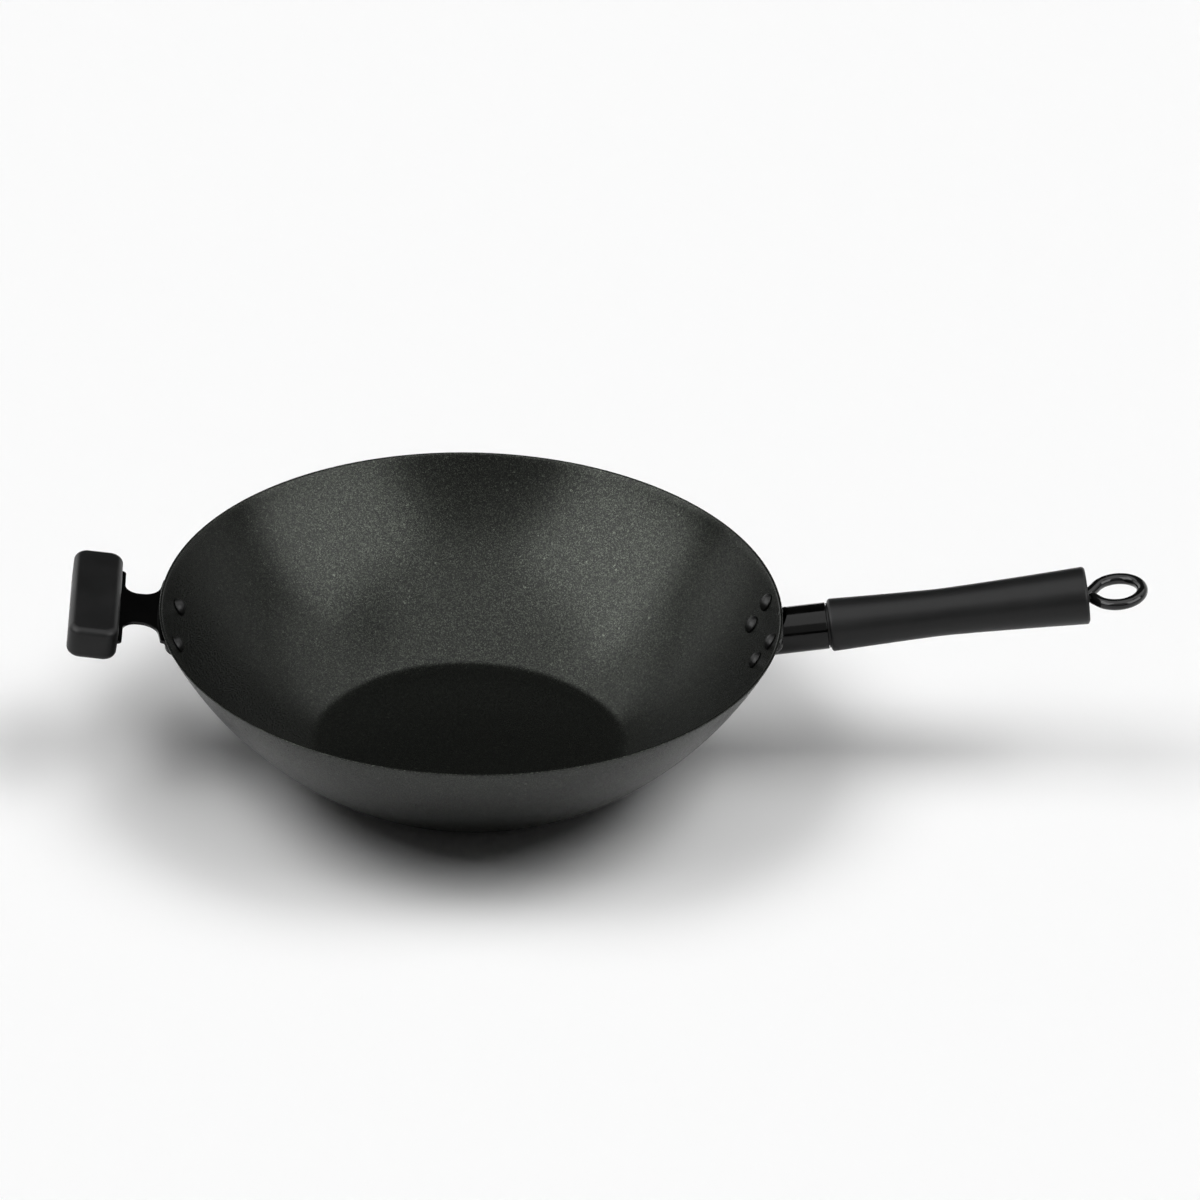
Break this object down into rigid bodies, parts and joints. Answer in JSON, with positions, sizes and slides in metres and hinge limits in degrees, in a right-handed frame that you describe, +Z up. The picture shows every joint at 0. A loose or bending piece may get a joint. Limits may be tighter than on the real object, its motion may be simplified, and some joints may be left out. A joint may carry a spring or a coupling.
{
  "type": "nonstick wok",
  "caption": "Flat-bottomed nonstick wok with a long socketed handle, a hanging loop on its through-bolt and a short helper handle on the opposite side.",
  "frame": {"origin": "centre of the bowl's flat underside", "axes": "+Z up, +X towards the long handle, helper handle on -X"},
  "size_m": [0.615, 0.3556, 0.1223],
  "materials": {
    "nonstick_coating": "dark grey speckled nonstick coating on carbon steel, satin",
    "black_enamel": "gloss black enamel on steel",
    "phenolic": "satin black moulded phenolic",
    "black_wire": "gloss black steel wire",
    "zinc_steel": "zinc-plated steel"
  },
  "bodies": {
    "wok": {"wok_bowl": "nonstick_coating", "handle_saddle": "black_enamel", "handle_socket": "black_enamel", "socket_weld": "black_enamel", "socket_bulkhead": "zinc_steel", "bolt_nut": "zinc_steel", "handle_grip": "phenolic", "helper_bracket": "black_enamel", "helper_grip": "phenolic", "helper_screw_1": "zinc_steel", "helper_screw_2": "zinc_steel", "handle_rivet_1": "nonstick_coating", "handle_rivet_2": "nonstick_coating", "handle_rivet_3": "nonstick_coating", "handle_rivet_4": "nonstick_coating", "helper_rivet_1": "nonstick_coating", "helper_rivet_2": "nonstick_coating"},
    "bolt_washer": {"bolt_washer": "zinc_steel"},
    "loop_bolt": {"loop_bolt": "black_wire"}
  },
  "joints": [
    {"name": "loop_bolt_travel", "type": "slide", "parent": "wok", "child": "bolt_washer", "axis": [0.9895, 0, 0.1444], "range_m": [0, 0.0073]},
    {"name": "loop_bolt_turn", "type": "hinge", "parent": "bolt_washer", "child": "loop_bolt", "pos_m": [0.34898, 0, 0.10572], "axis": [0.9895, 0, 0.1444], "range_deg": [0, 2070]}
  ],
  "couplings": [
    {"joint": "loop_bolt_turn", "follows": "loop_bolt_travel", "rad_per_m": 4947.4}
  ]
}
